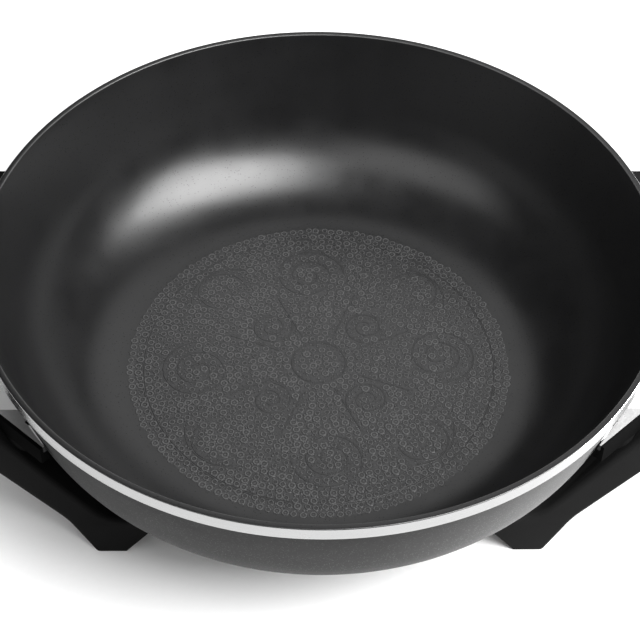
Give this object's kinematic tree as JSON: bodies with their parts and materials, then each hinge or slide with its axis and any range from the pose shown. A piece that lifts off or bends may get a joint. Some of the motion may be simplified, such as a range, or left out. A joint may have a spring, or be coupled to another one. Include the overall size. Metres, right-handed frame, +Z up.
{
  "type": "electric wok",
  "caption": "Round deep electric frying pan on two moulded side frames that are handles and feet in one, heated from below and set by a plug-in thermostat control.",
  "frame": {"origin": "on the table, on the bowl's axis", "axes": "+X from the bowl's axis to the right grip, +Y to the rear where the control plugs in, +Z up"},
  "size_m": [0.46, 0.36, 0.127],
  "materials": {
    "cast_bowl": "cast, black nonstick inside, bare rim band, dark metallic outside",
    "frame_plastic": "satin black moulding",
    "foot_rubber": "matt",
    "screw_steel": "bright zinc",
    "element_sheath": "heat-darkened sheath",
    "terminal_metal": "nickel plate",
    "ceramic": "white ceramic",
    "guard_steel": "plated sheet",
    "control_plastic": "satin black moulding",
    "plate_steel": "plated sheet",
    "probe_metal": "bright",
    "contact_brass": "bare",
    "bimetal": "bare strip",
    "lamp_lens": "clear red lens",
    "lamp_glass": "clear",
    "gland_rubber": "matt",
    "dial_plastic": "satin black moulding",
    "shaft_plastic": "bare moulding"
  },
  "bodies": {
    "cooker": {"wok_bowl": "cast_bowl", "handle_frame_right": "frame_plastic", "handle_frame_left": "frame_plastic", "foot_pad_rear_right": "foot_rubber", "foot_pad_front_right": "foot_rubber", "foot_pad_rear_left": "foot_rubber", "foot_pad_front_left": "foot_rubber", "ear_screws": "screw_steel", "leg_screws": "screw_steel", "heating_element": "element_sheath", "terminal_pins": "terminal_metal", "terminal_beads": "ceramic", "probe_guard": "guard_steel", "guard_screws": "screw_steel"},
    "control": {"housing_upper": "control_plastic", "housing_lower": "control_plastic", "housing_screws": "screw_steel", "face_plate": "plate_steel", "probe_rod": "probe_metal", "contact_sleeves": "contact_brass", "thermostat_frame": "plate_steel", "bimetal_strip": "bimetal", "leaf_insulators": "ceramic", "switch_leaves": "contact_brass", "push_pin": "ceramic", "pilot_lens": "lamp_lens", "pilot_lamp": "lamp_glass", "cord_gland": "gland_rubber"},
    "dial": {"control_dial": "dial_plastic", "dial_shaft": "shaft_plastic"}
  },
  "joints": [
    {"name": "control_slide", "type": "slide", "parent": "cooker", "child": "control", "axis": [0, 1, 0], "range_m": [0, 0.075]},
    {"name": "dial_turn", "type": "hinge", "parent": "control", "child": "dial", "pos_m": [0, 0.17, 0.0205], "axis": [0, -1, 0], "range_deg": [0, 270]}
  ]
}
